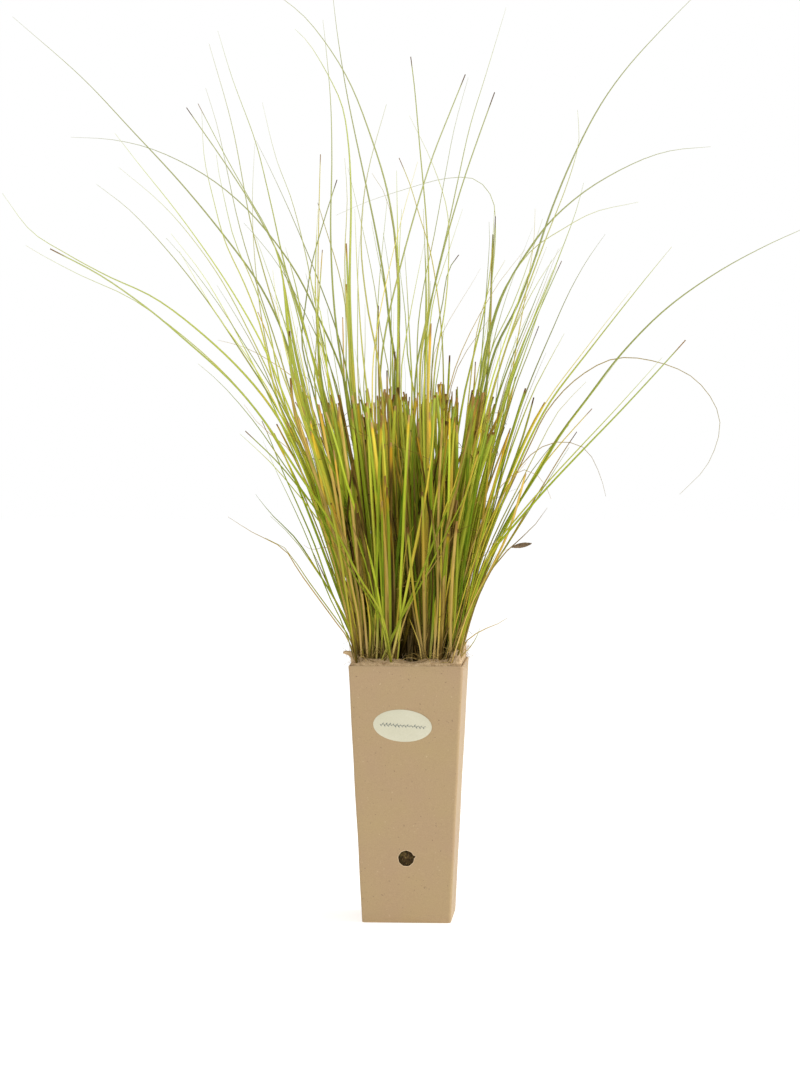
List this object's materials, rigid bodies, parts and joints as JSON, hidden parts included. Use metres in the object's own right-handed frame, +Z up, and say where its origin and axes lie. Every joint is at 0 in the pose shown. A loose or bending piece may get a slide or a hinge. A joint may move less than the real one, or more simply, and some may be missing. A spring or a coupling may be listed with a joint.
{
  "type": "potted sedge grass",
  "caption": "Tuft of narrow arching sedge leaves, sheared at one level with long fine leaves above, rooted in a tapered square card pot.",
  "frame": {"origin": "middle of the pot's underside, on the surface that it stands on", "axes": "+Z up along the pot, -Y out of the front wall with the label and the punched hole, +X to the right of the front"},
  "size_m": [0.6519, 0.4157, 0.7625],
  "materials": {
    "card": "matte",
    "label_paper": "matte",
    "felt": "matte",
    "compost": "matte",
    "sheared_leaf": "satin",
    "long_leaf": "satin",
    "seed_head": "matte"
  },
  "bodies": {
    "root": {"carton": "card", "front_leaves_crossing": "long_leaf", "label": "label_paper", "left_leaf_arching": "long_leaf", "left_leaf_longest": "long_leaf", "left_leaf_sweeping": "long_leaf", "left_leaf_widest": "long_leaf", "left_leaves_back": "long_leaf", "left_leaves_crossing": "long_leaf", "left_leaves_cut": "long_leaf", "left_leaves_fine": "long_leaf", "left_leaves_low": "long_leaf", "left_leaves_outer": "long_leaf", "left_leaves_sheared": "long_leaf", "left_leaves_upright": "long_leaf", "left_shoot_1": "sheared_leaf", "left_shoot_10": "sheared_leaf", "left_shoot_11": "sheared_leaf", "left_shoot_12": "sheared_leaf", "left_shoot_2": "sheared_leaf", "left_shoot_3": "sheared_leaf", "left_shoot_4": "sheared_leaf", "left_shoot_5": "sheared_leaf", "left_shoot_6": "sheared_leaf", "left_shoot_7": "sheared_leaf", "left_shoot_8": "sheared_leaf", "left_shoot_9": "sheared_leaf", "liner": "felt", "middle_leaves_broad": "long_leaf", "middle_leaves_crossed": "long_leaf", "middle_leaves_leaning": "long_leaf", "middle_leaves_sheared": "long_leaf", "middle_leaves_tall": "long_leaf", "middle_leaves_tallest": "long_leaf", "right_leaf_bowed": "long_leaf", "right_leaf_broad": "long_leaf", "right_leaf_looping": "long_leaf", "right_leaf_tallest": "long_leaf", "right_leaf_widest": "long_leaf", "right_leaves_arching": "long_leaf", "right_leaves_fine": "long_leaf", "right_leaves_hooked": "long_leaf", "right_leaves_outer": "long_leaf", "right_leaves_sheared": "long_leaf", "right_leaves_spreading": "long_leaf", "right_leaves_steep": "long_leaf", "right_shoot_1": "sheared_leaf", "right_shoot_10": "sheared_leaf", "right_shoot_11": "sheared_leaf", "right_shoot_12": "sheared_leaf", "right_shoot_2": "sheared_leaf", "right_shoot_3": "sheared_leaf", "right_shoot_4": "sheared_leaf", "right_shoot_5": "sheared_leaf", "right_shoot_6": "sheared_leaf", "right_shoot_7": "sheared_leaf", "right_shoot_8": "sheared_leaf", "right_shoot_9": "sheared_leaf", "root_ball": "compost", "seed_stalk": "seed_head"}
  },
  "joints": []
}
